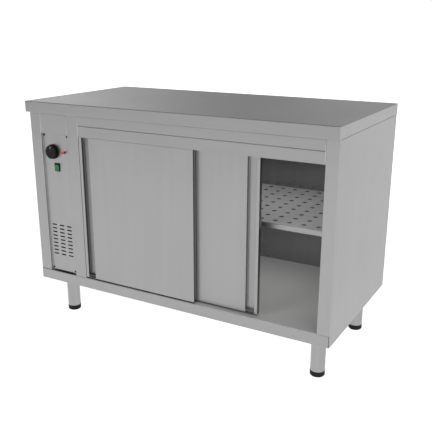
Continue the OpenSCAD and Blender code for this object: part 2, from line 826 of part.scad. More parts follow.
// The frame in front of the plate and the box behind it, with the rocker's bearings
module switch_housing() color(black_plastic)
    difference() {
        union() {
            facing_front(x_bay_mid, y_plate, z_switch) linear_extrude(bezel_t)
                rounded_rect(switch_w, switch_h, 1.5);
            block([x_bay_mid - switch_body_w / 2, x_bay_mid + switch_body_w / 2],
                  [y_plate, y_plate + switch_depth],
                  [z_switch - switch_h / 2 + 1, z_switch + switch_h / 2 - 1]);
        }
        block([x_bay_mid - rocker_w / 2 - seat_gap, x_bay_mid + rocker_w / 2 + seat_gap],
              [y_plate - bezel_t - cut, y_plate + rocker_r + 0.5],
              [z_switch - rocker_r - 0.4, z_switch + rocker_r + 0.4]);
        facing_right(x_bay_mid - switch_body_w / 2 - cut, y_plate, z_switch)
            cylinder(r = rocker_pin_r + run_fit, h = switch_body_w + 2 * cut);
    }

// A hollow-faced rocker on two pins, tilted with its lower end pressed in
module switch_rocker() color([0.05, 0.45, 0.22])
    translate([0, y_plate, z_switch]) rotate([rocker_tilt, 0, 0]) {
        along_x(x_bay_mid - rocker_w / 2, x_bay_mid + rocker_w / 2) intersection() {
            circle(r = rocker_r);
            polygon([[-6.5, rocker_r], [-4, 0], [-6.5, -rocker_r], [4, -rocker_r / 2], [4, rocker_r / 2]]);
        }
        facing_right(x_bay_mid - rocker_w / 2 - rocker_pin_l, 0, 0)
            cylinder(r = rocker_pin_r, h = rocker_w + 2 * rocker_pin_l);
    }

module pilot_lamp_holder() color(black_plastic) {
    facing_front(x_lamp, y_tab + 18, z_lamp) cylinder(r = lamp_barrel_r, h = sheet + 18);
    facing_front(x_lamp, y_plate, z_lamp) cylinder(r1 = lamp_ring_r, r2 = lamp_ring_r - 1, h = bezel_t);
    facing_front(x_lamp, y_tab + 3, z_lamp) cylinder(r = lamp_nut_r, h = 3, $fn = 6);
}

module pilot_lamp_lens() color([0.75, 0.05, 0.05])
    facing_front(x_lamp, y_plate - bezel_t, z_lamp) {
        cylinder(d = lamp_d, h = lamp_h - lamp_d / 2);
        translate([0, 0, lamp_h - lamp_d / 2]) sphere(d = lamp_d);
    }

// ---- Fan and heater ----

heater_ends = [for (side = [-1, 1])
    [y_fan + side * heater_r * sin(heater_gap), z_fan - heater_r * cos(heater_gap)]];

// A pan with its open side on the partition
module air_duct() color(galvanised)
    difference() {
        union() {
            block([x_duct0, x_duct1], [y_fan - duct_half_w, y_fan + duct_half_w],
                  [z_duct0, z_duct0 + duct_h]);
            block([x_duct1 - sheet, x_duct1],
                  [y_fan - duct_half_w - 15, y_fan + duct_half_w + 15],
                  [z_duct0, z_duct0 + duct_h + 15]);
        }
        block([x_duct0 + sheet, x_duct1 + cut],
              [y_fan - duct_half_w + sheet, y_fan + duct_half_w - sheet],
              [z_duct0 + sheet, z_duct0 + duct_h - sheet]);
        facing_right(x_duct0 - cut, y_fan, z_fan) cylinder(r = bearing_r, h = 2 * cut + sheet);
        for (p = heater_ends)
            facing_right(x_duct0 - cut, p[0], p[1]) cylinder(d = heater_d + 2 * run_fit, h = 2 * cut + sheet);
    }

module fan_motor() color(galvanised) {
    x_face = x_duct0 - motor_plate_t;
    difference() {
        block([x_face, x_duct0], [y_fan - motor_plate_r, y_fan + motor_plate_r],
              [z_fan - motor_plate_r, z_fan + motor_plate_r]);
        for (a = [45:90:315])
            facing_right(x_face - cut, y_fan + motor_bolt_r * cos(a), z_fan + motor_bolt_r * sin(a))
                cylinder(d = motor_bolt_d, h = motor_plate_t + 2 * cut);
    }
    facing_right(x_face - motor_l, y_fan, z_fan) {
        difference() {
            cylinder(r = motor_r, h = motor_l);
            for (a = [0:30:330]) rotate(a) translate([motor_r, 0, groove_inset])
                cylinder(r = 2.5, h = motor_l - 2 * groove_inset);
        }
        translate([0, 0, -bearing_h]) cylinder(r = bearing_r, h = bearing_h + cut);
        cylinder(r = motor_shaft_r, h = motor_l + motor_plate_t + wheel_gap - 2 + fan_w);
    }
}

// A centrifugal wheel: hub, back disc, curved blades and a front ring
module fan_impeller() color(galvanised)
    facing_right(x_duct0 + wheel_gap, y_fan, z_fan) difference() {
        union() {
            cylinder(r = hub_r, h = fan_w - 4);
            cylinder(r = fan_r, h = wheel_disc_t);
            for (i = [0:fan_blades - 1]) rotate(360 * i / fan_blades)
                linear_extrude(fan_w - wheel_disc_t / 2) intersection() {
                    difference() {
                        translate([fan_r * 0.5, -fan_r * 0.55]) circle(r = fan_r * 0.6);
                        translate([fan_r * 0.5, -fan_r * 0.55]) circle(r = fan_r * 0.6 - sheet);
                        circle(r = fan_r * 0.55);
                    }
                    circle(r = fan_r - 0.5);
                    translate([0, -fan_r * 0.2]) square([fan_r, fan_r]);
                }
            translate([0, 0, fan_w - wheel_disc_t]) difference() {
                cylinder(r = fan_r, h = wheel_disc_t);
                translate([0, 0, -cut]) cylinder(r = fan_r * 0.72, h = wheel_disc_t + 2 * cut);
            }
        }
        translate([0, 0, -cut]) cylinder(r = motor_shaft_r + run_fit, h = fan_w + 2 * cut);
    }

// One tube bent to an open ring round the fan, with its two ends brought out of the duct
module heater_element() color([0.35, 0.36, 0.36]) {
    translate([x_heater, y_fan, z_fan]) rotate([0, 90, 0]) rotate([0, 0, heater_gap])
        rotate_extrude(angle = 360 - 2 * heater_gap) translate([heater_r, 0]) circle(d = heater_d);
    for (p = heater_ends) {
        translate([x_heater, p[0], p[1]]) sphere(d = heater_d + 1);
        facing_right(x_duct0 - heater_tail, p[0], p[1])
            cylinder(d = heater_d, h = x_heater - x_duct0 + heater_tail);
        facing_right(x_duct0 - heater_tail - heater_pin, p[0], p[1])
            cylinder(r = heater_pin_r, h = heater_pin + cut);
    }
}

// A snap disc on the duct that cuts the heater off when the air gets too hot
module limit_thermostat() color(black_plastic) {
    z = z_duct0 + duct_h - limit_drop;
    facing_right(x_duct0 - limit_h, y_fan, z) cylinder(r = limit_r, h = limit_h);
    for (side = [-1, 1]) facing_right(x_duct0 - 2 * limit_h, y_fan + side * limit_r / 2, z)
        cylinder(r = limit_pin_r, h = limit_h + cut);
}

// ---- Mains connection ----

// Five poles on a base, each with its clamping screw's well
module terminal_block() color(white_nylon)
    translate([x_gland - poles * pole_w - terminal_gap_x, y_gland - terminal_gap_y, z_tray]) difference() {
        cube([poles * pole_w, terminal_d, terminal_h]);
        for (pole = [0:poles - 1]) translate([(pole + 0.5) * pole_w, 0, 0]) {
            translate([0, terminal_d / 2, wire_z + 4]) cylinder(r = well_r, h = terminal_h);
            translate([0, -cut, wire_z]) rotate([-90, 0, 0])
                cylinder(r = wire_hole_r, h = terminal_d + 2 * cut);
        }
        for (pole = [1:poles - 1]) translate([pole * pole_w - 0.5, -cut, terminal_h - 6])
            cube([1, terminal_d + 2 * cut, 6 + cut]);
    }

// A screwed gland in the tray's floor, open from below, with its nut inside the bay
module cable_gland() color(black_plastic)
    translate([x_gland, y_gland, 0]) difference() {
        union() {
            translate([0, 0, z_tray - gland_l]) cylinder(r = gland_body_r, h = gland_l + gland_nut_h);
            translate([0, 0, z_tray]) cylinder(r = gland_nut_r, h = gland_nut_h, $fn = 6);
            translate([0, 0, z_tray - sheet - gland_nut_h])
                cylinder(r = gland_nut_r, h = gland_nut_h, $fn = 6);
            translate([0, 0, z_tray - gland_l - 2]) cylinder(r = gland_cap_r, h = gland_cap_h);
        }
        translate([0, 0, z_base]) cylinder(d = gland_bore_d, h = tray_h + 2 * gland_nut_h);
    }

// ---- Legs ----

// A tube with a square plate welded on top
module leg(x, y) color(steel)
    translate([x, y, 0]) difference() {
        union() {
            translate([0, 0, foot_h]) cylinder(d = leg_d, h = z_tray - sheet - foot_h);
            translate([-leg_plate_w / 2, -leg_plate_w / 2, z_tray - sheet - leg_plate_t])
                cube([leg_plate_w, leg_plate_w, leg_plate_t]);
        }
        translate([0, 0, foot_h - cut])
            cylinder(d = leg_d - 2 * leg_wall, h = z_tray - sheet - leg_plate_t - foot_h + cut);
        for (dx = [-1, 1], dy = [-1, 1])
            translate([dx, dy, 0] * (leg_plate_w / 2 - leg_bolt_inset) + [0, 0, z_base])
                cylinder(d = leg_bolt_d, h = tray_h);
    }

// A threaded plastic plug in the lower end of each tube
module leg_inserts() color(black_plastic)
    for (x = leg_x, y = leg_y) translate([x, y, foot_h]) difference() {
        cylinder(d = leg_d - 2 * leg_wall - 2 * run_fit, h = insert_h);
        translate([0, 0, -cut]) cylinder(d = foot_stem_d + 2 * run_fit, h = insert_h + 2 * cut);
    }

// A turned foot on a stem that screws into the plug
module foot(x, y) color(black_plastic)
    translate([x, y, 0]) {
        cylinder(r1 = leg_d / 2 - foot_bevel, r2 = leg_d / 2, h = foot_bevel);
        translate([0, 0, foot_bevel]) cylinder(d = leg_d, h = foot_h - seat_gap - foot_bevel);
        cylinder(d = foot_stem_d, h = foot_h + foot_travel + 0.8 * insert_h);
    }

worktop();
worktop_board();
left_side_panel();
right_side_panel();
back_panel();
base_tray();
middle_post();
header_rail();
track_cover();
bay_header();
control_plate();
control_plate_screws();
door_track();
track_stops();
bottom_guide();
inner_back_panel();
inner_right_panel();
partition();
chamber_ceiling();
back_insulation();
right_insulation();
top_insulation();
shelf();
shelf_supports();
place_door(x_front_door, lanes[0], -1) door_skin();  // front_door_skin
place_door(x_front_door, lanes[0], -1) door_liner();  // front_door_liner
place_door(x_front_door, lanes[0], -1) door_hangers();  // front_door_hangers
roller(x_front_door + hanger_inset, lanes[0]);  // front_door_roller_left
roller(x_front_door + door_w - hanger_inset, lanes[0]);  // front_door_roller_right
place_door(x_rear_door, lanes[1], 1) door_skin();  // rear_door_skin
place_door(x_rear_door, lanes[1], 1) door_liner();  // rear_door_liner
place_door(x_rear_door, lanes[1], 1) door_hangers();  // rear_door_hangers
roller(x_rear_door - door_w + hanger_inset, lanes[1]);  // rear_door_roller_left
roller(x_rear_door - hanger_inset, lanes[1]);  // rear_door_roller_right
knob();
thermostat_shaft();
thermostat();
switch_housing();
switch_rocker();
pilot_lamp_holder();
pilot_lamp_lens();
air_duct();
fan_motor();
fan_impeller();
heater_element();
limit_thermostat();
terminal_block();
cable_gland();
leg(leg_x[0], leg_y[0]);  // leg_front_left
leg(leg_x[1], leg_y[0]);  // leg_front_right
leg(leg_x[0], leg_y[1]);  // leg_rear_left
leg(leg_x[1], leg_y[1]);  // leg_rear_right
leg_inserts();
foot(leg_x[0], leg_y[0]);  // foot_front_left
foot(leg_x[1], leg_y[0]);  // foot_front_right
foot(leg_x[0], leg_y[1]);  // foot_rear_left
foot(leg_x[1], leg_y[1]);  // foot_rear_right
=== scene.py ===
"""The looks of a plate warmer cabinet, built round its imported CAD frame.

Metres. +X runs along the front to the right, the front faces -Y, +Z is up, and the
origin is on the floor under the middle of the worktop, as in the frame.
"""

import math

import bmesh
import bpy
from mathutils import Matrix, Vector


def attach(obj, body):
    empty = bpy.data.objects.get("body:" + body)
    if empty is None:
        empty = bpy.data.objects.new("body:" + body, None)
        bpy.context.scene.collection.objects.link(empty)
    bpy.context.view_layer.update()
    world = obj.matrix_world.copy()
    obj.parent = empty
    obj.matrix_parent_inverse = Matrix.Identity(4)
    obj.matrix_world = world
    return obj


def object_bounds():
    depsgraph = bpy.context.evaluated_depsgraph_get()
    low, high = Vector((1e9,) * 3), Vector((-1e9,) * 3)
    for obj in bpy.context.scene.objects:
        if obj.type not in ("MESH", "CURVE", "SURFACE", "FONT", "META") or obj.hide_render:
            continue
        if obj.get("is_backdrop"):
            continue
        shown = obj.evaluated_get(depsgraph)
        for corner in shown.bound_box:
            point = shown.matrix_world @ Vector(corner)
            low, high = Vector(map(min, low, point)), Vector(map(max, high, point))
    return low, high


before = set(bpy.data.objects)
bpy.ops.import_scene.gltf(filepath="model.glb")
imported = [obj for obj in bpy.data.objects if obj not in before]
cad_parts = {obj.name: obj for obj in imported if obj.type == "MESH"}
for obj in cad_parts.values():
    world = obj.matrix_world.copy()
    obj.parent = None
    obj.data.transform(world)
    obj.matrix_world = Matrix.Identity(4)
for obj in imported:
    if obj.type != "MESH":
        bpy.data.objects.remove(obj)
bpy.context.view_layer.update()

# ---- The photographer's place ----
# A hand-held camera to the right of the cabinet, at the height of a standing person's
# chest, with a short portrait lens. Its place was worked out from the cabinet's
# straight edges in the photograph.
IMAGE_WIDTH_PX, IMAGE_HEIGHT_PX = 432, 446
FOCAL_PX = 652.2
OPTICAL_AXIS_PX = (212.6, 223.6)
SENSOR_MM = 36

camera_data = bpy.data.cameras.new("camera")
camera_data.sensor_width = SENSOR_MM
camera_data.lens = FOCAL_PX / IMAGE_HEIGHT_PX * SENSOR_MM
camera_data.shift_x = (IMAGE_WIDTH_PX / 2 - OPTICAL_AXIS_PX[0]) / IMAGE_HEIGHT_PX
camera_data.shift_y = (OPTICAL_AXIS_PX[1] - IMAGE_HEIGHT_PX / 2) / IMAGE_HEIGHT_PX
camera = bpy.data.objects.new("camera", camera_data)
camera.location = (1.1887, -2.0394, 1.1332)
camera.rotation_euler = (math.radians(90 - 17.507), 0, math.radians(29.865))
bpy.context.scene.collection.objects.link(camera)
bpy.context.scene.camera = camera
bpy.context.scene.view_settings.view_transform = "Standard"


# ---- The studio ----
# A white floor and room under a dark ceiling, with a soft box high at the left and a wide
# white screen at the front right. Two very dim soft boxes, which the lens doesn't see,
# lift the chamber's shelf and floor. The room's walls are what the steel mirrors.
def linear(srgb):
    """The linear colour of an sRGB hex value."""
    channels = [int(srgb[i : i + 2], 16) / 255 for i in (1, 3, 5)]
    return [c / 12.92 if c <= 0.04045 else ((c + 0.055) / 1.055) ** 2.4 for c in channels] + [1]


def add(tree, kind, settings=None, **inputs):
    """Adds a shader node. An input is a value, or an output that is linked to it."""
    node = tree.nodes.new("ShaderNode" + kind)
    for name, value in (settings or {}).items():
        setattr(node, name, value)
    for name, value in inputs.items():
        by_number = name[0] == "_"
        socket = node.inputs[int(name[1:]) if by_number else name.replace("_", " ")]
        if isinstance(value, bpy.types.NodeSocket):
            tree.links.new(value, socket)
        else:
            socket.default_value = value
    return node


def new_material(name):
    """An empty material. Returns it with its node tree and its Object coordinates."""
    material = bpy.data.materials.new(name)
    material.use_nodes = True
    material.node_tree.nodes.clear()
    return material, material.node_tree, add(material.node_tree, "TexCoord").outputs["Object"]


def surface(tree, **inputs):
    """Ends a material in the shader that its finish goes into."""
    shader = add(tree, "BsdfPrincipled", **inputs)
    add(tree, "OutputMaterial", Surface=shader.outputs[0])


def ramp(tree, factor, *stops):
    """A colour ramp. Each stop is a position and an sRGB hex value."""
    node = add(tree, "ValToRGB", Fac=factor)
    elements = node.color_ramp.elements
    while len(elements) < len(stops):
        elements.new(1)
    for element, (position, colour) in zip(elements, stops):
        element.position = position
        element.color = linear(colour)
    return node.outputs["Color"]


def fade(tree, value, start, end, low=0.0, high=1.0):
    """Goes smoothly from low to high as a value goes from start to end."""
    settings = {"interpolation_type": "SMOOTHSTEP"}
    return add(tree, "MapRange", settings, _0=value, _1=start, _2=end, _3=low, _4=high).outputs[0]


def combined(tree, operation, *values):
    """Adds or multiplies several values."""
    result = values[0]
    for value in values[1:]:
        result = add(tree, "Math", {"operation": operation}, _0=result, _1=value).outputs[0]
    return result


# The floor glows a little, as one lit by many lamps does, and more far away.
# What the lens sees of it is brighter still, so the floor burns out to white.
FLOOR_SIZE = 60
GLOW_NEAR, GLOW_FAR = 0.66, 0.75
SEEN_NEAR, SEEN_FAR = 0.8, 1.0

floor_paint, tree, place = new_material("white_floor_paint")
blotches = add(tree, "TexNoise", Vector=place, Scale=3.0, Detail=3.0).outputs["Fac"]
away = add(tree, "VectorMath", {"operation": "LENGTH"}, _0=place).outputs["Value"]
glow = add(tree, "MapRange", _0=away, _1=1.5, _2=9.0, _3=GLOW_NEAR, _4=GLOW_FAR).outputs[0]
seen = add(tree, "LightPath").outputs["Is Camera Ray"]
burnt_out = add(tree, "MapRange", _0=away, _1=1.5, _2=4.0, _3=SEEN_NEAR, _4=SEEN_FAR).outputs[0]
surface(
    tree,
    Base_Color=ramp(tree, blotches, (0.3, "#efefee"), (0.7, "#f6f6f5")),
    Roughness=0.85,
    Emission_Color=(1, 1, 1, 1),
    Emission_Strength=add(tree, "Mix", Factor=seen, _2=glow, _3=burnt_out).outputs[0],
)

bpy.ops.object.select_all(action="DESELECT")
bpy.ops.mesh.primitive_plane_add(size=FLOOR_SIZE, location=(0, 0, 0))
floor = bpy.context.object
floor.name = "floor"
floor.data.materials.append(floor_paint)
floor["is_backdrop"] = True


def soft_box(name, size, place, aim, power):
    """A rectangular lamp at a place, turned to a point."""
    data = bpy.data.lights.new(name, "AREA")
    data.shape = "RECTANGLE"
    data.size, data.size_y = size
    data.energy = power
    lamp = bpy.data.objects.new(name, data)
    lamp.location = place
    lamp.rotation_euler = (Vector(aim) - Vector(place)).to_track_quat("-Z", "Y").to_euler()
    lamp.visible_camera = False
    bpy.context.scene.collection.objects.link(lamp)


soft_box("key_light", (1.6, 1.2), (-1.3, -3.2, 3.0), (0.2, -0.2, 0.5), 31)
soft_box("upper_inside", (0.7, 0.3), (0.15, 0.02, 0.765), (0.15, 0.02, 0.5), 0.36)
soft_box("lower_inside", (0.7, 0.3), (0.15, -0.02, 0.48), (0.15, -0.02, 0.2), 0.44)

room = bpy.data.worlds.new("room")
room.use_nodes = True
tree = room.node_tree
tree.nodes.clear()
x, y, z = add(tree, "SeparateXYZ", Vector=add(tree, "TexCoord").outputs["Generated"]).outputs
behind, in_front = fade(tree, y, 0.0, 0.3), fade(tree, y, 0.3, 0.0)
low_left = combined(
    tree, "MULTIPLY", behind, fade(tree, z, 0.6, 0.35), fade(tree, x, -0.4, -0.75, 0.0, 0.8)
)
low_right = combined(
    tree, "MULTIPLY", behind, fade(tree, z, 0.32, 0.12), fade(tree, x, -0.55, -0.25, 0.0, 0.56)
)
high = combined(
    tree, "MULTIPLY", behind, fade(tree, z, 0.12, 0.32), fade(tree, z, 0.8, 0.6, 0.0, 0.58)
)
screen = combined(
    tree, "MULTIPLY", in_front, fade(tree, z, 0.8, 0.5), fade(tree, x, -0.2, 0.3, 0.0, 1.7)
)
walls = combined(tree, "ADD", low_left, low_right, high, screen)
seen = add(tree, "LightPath").outputs["Is Camera Ray"]
strength = add(tree, "Mix", Factor=seen, _2=walls, _3=1.0).outputs[0]
add(
    tree,
    "OutputWorld",
    Surface=add(tree, "Background", Color=(1, 1, 1, 1), Strength=strength).outputs[0],
)
bpy.context.scene.world = room


# ---- Base tray ----
# The bottom of the cabinet: one stainless sheet folded down on four sides, with the
# lip that the front posts stand on. Its outside is ground. Its top, the floor of the warm
# chamber, is painted paler as painted light, not a known finish.
def ground_steel(tree, place, grain, darker, paler, roughness, marks=0.02):
    """The finish of stainless sheet that was ground along an axis.

    It gives the eye fine lines that run one way, faint wide streaks, and cloudy wiping
    marks. The real lines are about 0.1 mm wide, and here 1 mm, to show at all.
    """
    line_mm, line_length_mm = 1.0, 120
    streak_mm, streak_length_mm = 25, 900

    def drawn_out(width_mm, length_mm):
        scale = [1000 / width_mm] * 3
        scale["XYZ".index(grain)] = 1000 / length_mm
        stretched = add(tree, "Mapping", Vector=place, Scale=scale).outputs[0]
        return add(tree, "TexNoise", Vector=stretched, Scale=1.0, Detail=2.0).outputs["Fac"]

    lines = drawn_out(line_mm, line_length_mm)
    streaks = drawn_out(streak_mm, streak_length_mm)
    smears = add(
        tree, "TexNoise", Vector=place, Scale=5.0, Detail=4.0, Distortion=0.6
    ).outputs["Fac"]
    both = add(
        tree, "Math", {"operation": "MULTIPLY_ADD"}, _0=lines, _1=0.6, _2=streaks
    ).outputs[0]
    return {
        "Base_Color": ramp(tree, both, (0.5, darker), (1.0, paler)),
        "Roughness": add(
            tree, "MapRange", _0=smears, _1=0.3, _2=0.7, _3=roughness - marks, _4=roughness + marks
        ).outputs[0],
        "Normal": add(tree, "Bump", Strength=0.03, Distance=0.0002, Height=lines).outputs[0],
    }


def satin_steel(name, grain, darker, paler, roughness, metallic=0.96):
    """A whole material of ground stainless sheet."""
    material, tree, place = new_material(name)
    finish = ground_steel(tree, place, grain, darker, paler, roughness)
    surface(tree, Metallic=metallic, **finish)
    return material


def beyond(tree, place, axis, edge):
    """0 up to a place along an axis, and 1 beyond it."""
    along = add(tree, "SeparateXYZ", Vector=place).outputs[axis]
    return add(tree, "Math", {"operation": "GREATER_THAN"}, _0=along, _1=edge).outputs[0]


def mixed(tree, share, first, second):
    """A mix of two colours."""
    return add(tree, "Mix", {"data_type": "RGBA"}, Factor=share, _6=first, _7=second).outputs[2]


def paint(material, *names):
    """Gives CAD nodes a material."""
    for name in names:
        for material_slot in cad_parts[name].material_slots:
            material_slot.material = material


# Satin stainless steel, mid grey. Its top is painted paler and barely metallic: painted
# light, except under the control bay's front. The real sheet is likely one finish.
TRAY_TOP, BAY_FRONT, BAY_RIGHT = 0.1955, -0.25, -0.37
tray_steel, tree, place = new_material("tray_stainless_steel")
finish = ground_steel(tree, place, "X", "#a4a4a5", "#a7a7a8", 0.36)
inside = combined(
    tree,
    "MULTIPLY",
    beyond(tree, place, "Z", TRAY_TOP),
    combined(
        tree, "MAXIMUM", beyond(tree, place, "Y", BAY_FRONT), beyond(tree, place, "X", BAY_RIGHT)
    ),
)
finish["Base_Color"] = mixed(tree, inside, finish["Base_Color"], linear("#d6d6d5"))
metallic = add(tree, "MapRange", _0=inside, _3=0.96, _4=0.05).outputs[0]
surface(tree, Metallic=metallic, **finish)
paint(tray_steel, "base_tray")


# ---- Legs ----
# Round stainless tubes, each welded all round to a square plate. Studs under the tray
# go through the plate's corners and hold it with washers and nuts.
LEG_X, LEG_Y = (-0.520, 0.533), (-0.197, 0.199)
LEG_TUBE_R = 0.025
LEG_PLATE_UNDER = 0.1918
STUD_OUT = 0.032

# Drawn and polished stainless tube, a little brighter and glossier than the sheet.
tube_steel = satin_steel("polished_tube_steel", "Z", "#9c9c9d", "#a6a6a7", 0.25, 1.0)
paint(tube_steel, "leg_front_left", "leg_front_right", "leg_rear_left", "leg_rear_right")


def deselected():
    bpy.ops.object.select_all(action="DESELECT")


def select_faces(piece, wanted):
    """Selects, in edit mode, the faces for which wanted(face) holds."""
    bpy.ops.mesh.select_mode(type="FACE")
    bpy.ops.mesh.select_all(action="DESELECT")
    mesh = bmesh.from_edit_mesh(piece.data)
    for face in mesh.faces:
        face.select_set(wanted(face))
    bmesh.update_edit_mesh(piece.data)


def select_points(piece, wanted):
    """Selects, in edit mode, the points for which wanted(point) holds."""
    bpy.ops.mesh.select_mode(type="VERT")
    bpy.ops.mesh.select_all(action="DESELECT")
    mesh = bmesh.from_edit_mesh(piece.data)
    for point in mesh.verts:
        point.select_set(wanted(point.co))
    mesh.select_flush(True)
    bmesh.update_edit_mesh(piece.data)


def select_top(piece):
    """Selects, in edit mode, the highest level face."""
    mesh = bmesh.from_edit_mesh(piece.data)
    top = max(face.calc_center_median().z for face in mesh.faces)
    select_faces(
        piece, lambda face: face.normal.z > 0.9 and face.calc_center_median().z > top - 1e-6
    )


def push(distance, size=1.0):
    """Extrudes what is selected straight up or down, and scales its end."""
    bpy.ops.mesh.extrude_region_move(TRANSFORM_OT_translate={"value": (0, 0, distance)})
    bpy.ops.transform.resize(value=(size, size, 1), center_override=(0, 0, 0))


def placed_copies(model, name, material, body, places, turn=(0, 0, 0)):
    """Copies a model to places, turned, joins the copies and removes the model."""
    deselected()
    copies = []
    for location in places:
        copy = model.copy()
        copy.data = model.data.copy()
        copy.location = location
        copy.rotation_euler = turn
        bpy.context.scene.collection.objects.link(copy)
        copy.select_set(True)
        copies.append(copy)
    bpy.data.objects.remove(model)
    bpy.context.view_layer.objects.active = copies[0]
    if len(copies) > 1:
        bpy.ops.object.join()
    bpy.ops.object.transform_apply(location=True, rotation=True, scale=True)
    piece = bpy.context.object
    piece.name = name
    piece.data.materials.clear()
    piece.data.materials.append(material)
    bpy.ops.object.shade_smooth_by_angle(angle=math.radians(35))
    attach(piece, body)
    return piece


def disc(radius, height, sides, base=0.0, edge=0.0):
    """A round block that stands on a level, with its upper edge bevelled."""
    deselected()
    bpy.ops.mesh.primitive_cylinder_add(
        vertices=sides, radius=radius, depth=height, location=(0, 0, base + height / 2)
    )
    block = bpy.context.object
    bpy.ops.object.transform_apply(location=True, rotation=True, scale=True)
    if edge:
        bpy.ops.object.mode_set(mode="EDIT")
        select_top(block)
        bpy.ops.mesh.bevel(offset=edge, segments=2, affect="EDGES")
        bpy.ops.object.mode_set(mode="OBJECT")
    return block


def joined(*blocks):
    """Joins blocks to the first of them."""
    deselected()
    for block in blocks:
        block.select_set(True)
    bpy.context.view_layer.objects.active = blocks[0]
    bpy.ops.object.join()
    return bpy.context.object


def nut_on_thread(thread_d, flats, nut_h, tail, washer_d=0.0):
    """A nut on a threaded end that points up, with a washer under it or without."""
    washer_h = 0.0012 if washer_d else 0.0
    pitch, root = 0.001, 0.86
    nut = disc(flats / 2 / math.cos(math.radians(30)), nut_h, 6, washer_h, 0.0006)
    thread = disc(thread_d / 2 * root, washer_h + nut_h, 16)
    bpy.ops.object.mode_set(mode="EDIT")
    select_top(thread)
    for _ in range(round(tail / pitch)):
        push(pitch / 2, 1 / root)
        push(pitch / 2, root)
    bpy.ops.mesh.inset(thickness=thread_d * 0.1, depth=0.0003)
    bpy.ops.object.mode_set(mode="OBJECT")
    if washer_d:
        return joined(nut, thread, disc(washer_d / 2, washer_h, 24, 0.0, 0.0003))
    return joined(nut, thread)


# Bright zinc plating on steel: a smooth, bluish pale metal with a faint cloudiness.
zinc_plate, tree, place = new_material("bright_zinc_plate")
clouds = add(tree, "TexNoise", Vector=place, Scale=300.0, Detail=3.0).outputs["Fac"]
surface(
    tree,
    Base_Color=ramp(tree, clouds, (0.3, "#9fa3a8"), (0.7, "#b4b8bc")),
    Metallic=1.0,
    Roughness=add(tree, "MapRange", _0=clouds, _3=0.25, _4=0.4).outputs[0],
)
placed_copies(
    nut_on_thread(0.006, 0.010, 0.005, 0.005, washer_d=0.0125),
    "leg_nuts",
    zinc_plate,
    "cabinet",
    [
        (x + STUD_OUT * side, y + STUD_OUT * end, LEG_PLATE_UNDER)
        for x in LEG_X
        for y in LEG_Y
        for side in (-1, 1)
        for end in (-1, 1)
    ],
    turn=(math.pi, 0, 0),
)

# The weld between tube and plate: a ring of overlapping drops, straw-coloured to blue
# where the heat has tinted the steel.
BEAD_R, BEAD_DROPS = 0.0022, 48
deselected()
bpy.ops.mesh.primitive_torus_add(
    major_radius=LEG_TUBE_R + 0.0006,
    minor_radius=BEAD_R,
    major_segments=3 * BEAD_DROPS,
    minor_segments=10,
)
bead = bpy.context.object
bpy.ops.object.mode_set(mode="EDIT")
select_points(
    bead, lambda co: round(math.atan2(co.y, co.x) / math.tau * 3 * BEAD_DROPS) % 3 == 0
)
bpy.ops.transform.shrink_fatten(value=-0.0005)
bpy.ops.object.mode_set(mode="OBJECT")
weld_metal, tree, place = new_material("tig_weld_bead")
tint = add(tree, "TexNoise", Vector=place, Scale=60.0, Detail=2.0).outputs["Fac"]
surface(
    tree,
    Base_Color=ramp(tree, tint, (0.3, "#8d8b84"), (0.55, "#a39a86"), (0.75, "#8690a0")),
    Metallic=1.0,
    Roughness=add(tree, "MapRange", _0=tint, _3=0.25, _4=0.45).outputs[0],
)
placed_copies(
    bead,
    "leg_weld_beads",
    weld_metal,
    "cabinet",
    [(x, y, LEG_PLATE_UNDER - BEAD_R * 0.3) for x in LEG_X for y in LEG_Y],
)


# ---- Feet ----
# Turned feet on threaded stems, and the plugs in the tubes' ends that they screw into,
# all moulded in black polyamide.
def moulded(name, darker, paler, roughness, grain_mm=1.0, relief=0.2, **more):
    """Moulded plastic: a fine eroded grain from the mould, and faint cloudiness."""
    material, tree, place = new_material(name)
    grain = add(tree, "TexNoise", Vector=place, Scale=1000 / grain_mm, Detail=2.0).outputs["Fac"]
    clouds = add(tree, "TexNoise", Vector=place, Scale=40.0, Detail=3.0).outputs["Fac"]
    surface(
        tree,
        Base_Color=ramp(tree, clouds, (0.35, darker), (0.7, paler)),
        Roughness=roughness,
        Normal=add(tree, "Bump", Strength=relief, Distance=0.0002, Height=grain).outputs[0],
        **more,
    )
    return material


# Glass-filled polyamide: near black and dull, with little shine.
polyamide = moulded("black_polyamide", "#0b0b0b", "#111111", 0.6, Specular_IOR_Level=0.25)
paint(polyamide, "leg_inserts")
paint(polyamide, "foot_front_left", "foot_front_right", "foot_rear_left", "foot_rear_right")

# A thin black ring round the end of each tube makes up the height of the black band that
# the photograph shows there. What the real piece is isn't known.
COLLAR_R, COLLAR_T, COLLAR_LOW, COLLAR_H = 0.0256, 0.0005, 0.0161, 0.0035
deselected()
bpy.ops.mesh.primitive_cylinder_add(
    vertices=64,
    radius=COLLAR_R,
    depth=COLLAR_H,
    end_fill_type="NOTHING",
    location=(0, 0, COLLAR_LOW + COLLAR_H / 2),
)
collar = bpy.context.object
bpy.ops.object.transform_apply(location=True, rotation=True, scale=True)
thick = collar.modifiers.new("wall", "SOLIDIFY")
thick.thickness, thick.offset = COLLAR_T, -1
bpy.ops.object.modifier_apply(modifier=thick.name)
edges = collar.modifiers.new("edges", "BEVEL")
edges.width, edges.segments = COLLAR_T / 4, 2
bpy.ops.object.modifier_apply(modifier=edges.name)
placed_copies(
    collar,
    "leg_plug_collars",
    polyamide,
    "cabinet",
    [(x, y, 0) for x in LEG_X for y in LEG_Y],
)


# ---- Casing ----
# The two sides, each one sheet with its front post, the middle post, and the back. The
# back is screwed on down both sides and along the bottom with pan-head screws.
steel_upright = satin_steel("satin_steel_upright", "Z", "#a4a4a5", "#a7a7a8", 0.36)
paint(steel_upright, "left_side_panel", "back_panel", "middle_post")
